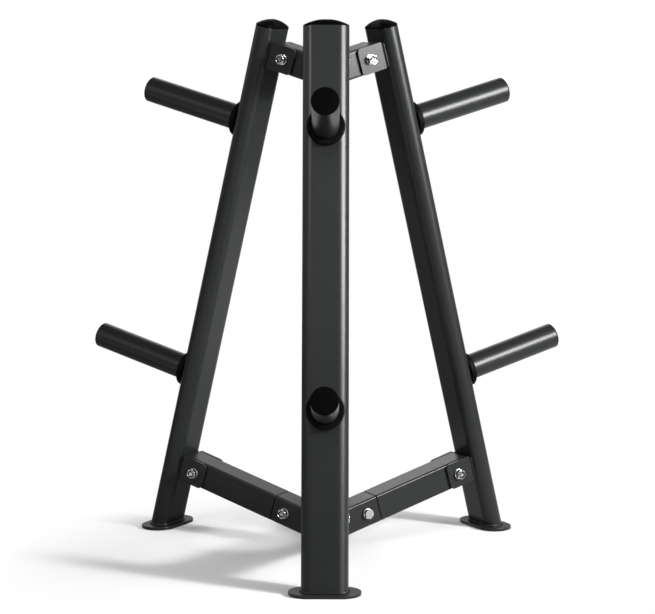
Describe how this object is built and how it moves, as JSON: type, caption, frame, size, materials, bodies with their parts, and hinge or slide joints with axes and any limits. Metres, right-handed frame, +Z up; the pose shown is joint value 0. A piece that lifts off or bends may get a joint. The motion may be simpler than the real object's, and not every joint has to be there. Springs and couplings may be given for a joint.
{
  "type": "weight plate tree",
  "caption": "Free-standing weight plate tree: leaning oval-tube legs tied by hubs and square braces, with outward plate pegs, rubber stop rings and oval foot plates.",
  "frame": {"origin": "on the floor, under the middle of the whole tree's bounding box", "axes": "+Z up, -Y towards the front leg, +X towards the right leg as seen from the front"},
  "size_m": [0.911, 0.7936, 0.9836],
  "materials": {
    "frame_paint": "satin anthracite powder coat",
    "cap_plastic": "black moulded plastic, lightly grained",
    "ring_rubber": "black rubber, dull",
    "zinc": "bright zinc plate"
  },
  "bodies": {
    "root": {"foot_plate_front": "frame_paint", "foot_plate_right": "frame_paint", "foot_plate_left": "frame_paint", "leg_cap_front": "cap_plastic", "leg_cap_right": "cap_plastic", "leg_cap_left": "cap_plastic", "leg_front": "frame_paint", "leg_right": "frame_paint", "leg_left": "frame_paint", "lower_peg_cap_front": "cap_plastic", "lower_peg_cap_right": "cap_plastic", "lower_peg_cap_left": "cap_plastic", "lower_peg_front": "frame_paint", "lower_peg_right": "frame_paint", "lower_peg_left": "frame_paint", "lower_stop_ring_front": "ring_rubber", "lower_stop_ring_right": "ring_rubber", "lower_stop_ring_left": "ring_rubber", "upper_peg_cap_front": "cap_plastic", "upper_peg_cap_right": "cap_plastic", "upper_peg_cap_left": "cap_plastic", "upper_peg_front": "frame_paint", "upper_peg_right": "frame_paint", "upper_peg_left": "frame_paint", "upper_stop_ring_front": "ring_rubber", "upper_stop_ring_right": "ring_rubber", "upper_stop_ring_left": "ring_rubber", "lower_bracket_bolt_front": "zinc", "lower_bracket_bolt_right": "zinc", "lower_bracket_bolt_left": "zinc", "lower_bracket_nut_front": "zinc", "lower_bracket_nut_right": "zinc", "lower_bracket_nut_left": "zinc", "lower_bracket_front": "frame_paint", "lower_bracket_right": "frame_paint", "lower_bracket_left": "frame_paint", "upper_bracket_bolt_front": "zinc", "upper_bracket_bolt_right": "zinc", "upper_bracket_bolt_left": "zinc", "upper_bracket_nut_front": "zinc", "upper_bracket_nut_right": "zinc", "upper_bracket_nut_left": "zinc", "upper_bracket_front": "frame_paint", "upper_bracket_right": "frame_paint", "upper_bracket_left": "frame_paint", "brace_bar_front": "frame_paint", "brace_bar_right": "frame_paint", "brace_bar_left": "frame_paint", "joint_sleeve_front": "frame_paint", "joint_sleeve_right": "frame_paint", "joint_sleeve_left": "frame_paint", "hub_joint_bolt_front": "zinc", "hub_joint_bolt_right": "zinc", "hub_joint_bolt_left": "zinc", "hub_joint_nut_front": "zinc", "hub_joint_nut_right": "zinc", "hub_joint_nut_left": "zinc", "lower_hub": "frame_paint", "upper_hub": "frame_paint"}
  },
  "joints": []
}
